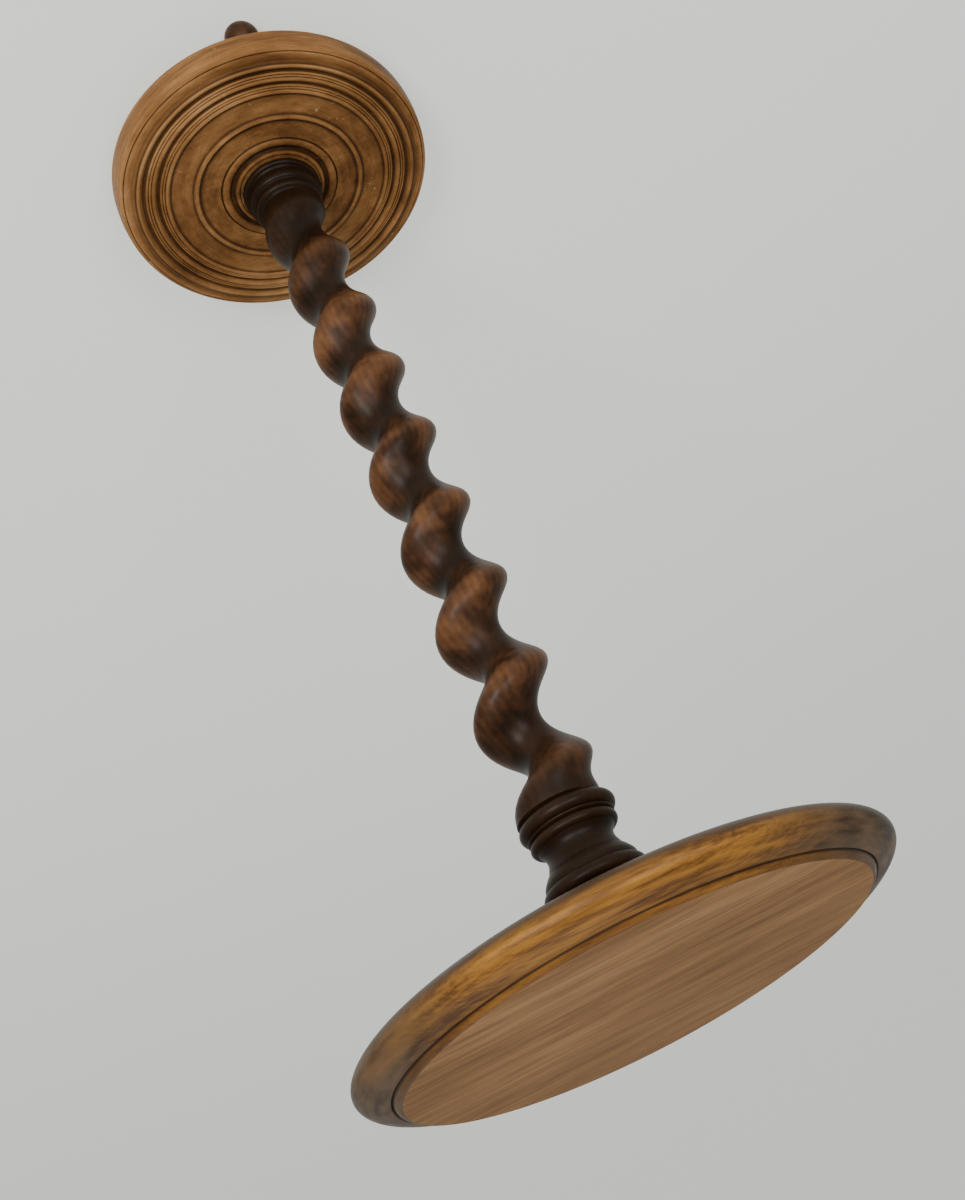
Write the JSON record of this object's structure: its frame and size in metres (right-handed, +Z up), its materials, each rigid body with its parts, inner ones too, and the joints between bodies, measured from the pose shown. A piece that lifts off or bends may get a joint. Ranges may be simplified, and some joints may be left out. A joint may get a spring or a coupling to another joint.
{
  "type": "sculpting turntable stand",
  "caption": "Turned wooden stand with a twisted column, a ringed round base on ball feet and a round top that spins on a hidden thrust bearing.",
  "frame": {"origin": "on the plane that the three feet rest on, on the turning axis of the top", "axes": "+Z up along the turning axis; -Y is the front; the first foot is close to -Y; the grain of the top runs along X"},
  "size_m": [0.2996, 0.2996, 0.723],
  "materials": {
    "top_wood": "honey-brown wood with dark streaks, glossy varnish on the rim, matt face",
    "column_wood": "dark walnut-stained wood, satin, worn red-brown on the crests",
    "base_wood": "mid-brown turned wood with darker grooves and light worn ridges, satin",
    "foot_wood": "dark brown turned wood, satin",
    "bright_steel": "ground bearing steel, lightly oiled",
    "dull_steel": "dull plated steel",
    "brass": "machined brass"
  },
  "bodies": {
    "stand": {"base_disc": "base_wood", "ball_foot_1": "foot_wood", "ball_foot_2": "foot_wood", "ball_foot_3": "foot_wood", "tie_bolt": "dull_steel", "tie_washer": "dull_steel", "column": "column_wood", "head_plate": "dull_steel", "plate_screw_1": "dull_steel", "plate_screw_2": "dull_steel", "plate_screw_3": "dull_steel", "plate_screw_4": "dull_steel", "pivot_spindle": "bright_steel", "lower_race": "bright_steel", "retaining_washer": "bright_steel", "lock_nut": "bright_steel"},
    "head": {"turntable_top": "top_wood", "bearing_block": "column_wood", "block_screw_1": "dull_steel", "block_screw_2": "dull_steel", "block_screw_3": "dull_steel", "block_screw_4": "dull_steel", "pivot_bush": "brass", "upper_race": "bright_steel"},
    "ball_train": {"ball_cage": "brass", "bearing_ball_01": "bright_steel", "bearing_ball_02": "bright_steel", "bearing_ball_03": "bright_steel", "bearing_ball_04": "bright_steel", "bearing_ball_05": "bright_steel", "bearing_ball_06": "bright_steel", "bearing_ball_07": "bright_steel", "bearing_ball_08": "bright_steel", "bearing_ball_09": "bright_steel", "bearing_ball_10": "bright_steel"}
  },
  "joints": [
    {"name": "top_swivel", "type": "hinge", "parent": "stand", "child": "head", "pos_m": [0, 0, 0.676], "axis": [0, 0, 1], "continuous": true},
    {"name": "cage_spin", "type": "hinge", "parent": "stand", "child": "ball_train", "pos_m": [0, 0, 0.676], "axis": [0, 0, 1], "continuous": true}
  ],
  "couplings": [
    {"joint": "cage_spin", "follows": "top_swivel", "ratio": 0.5}
  ]
}
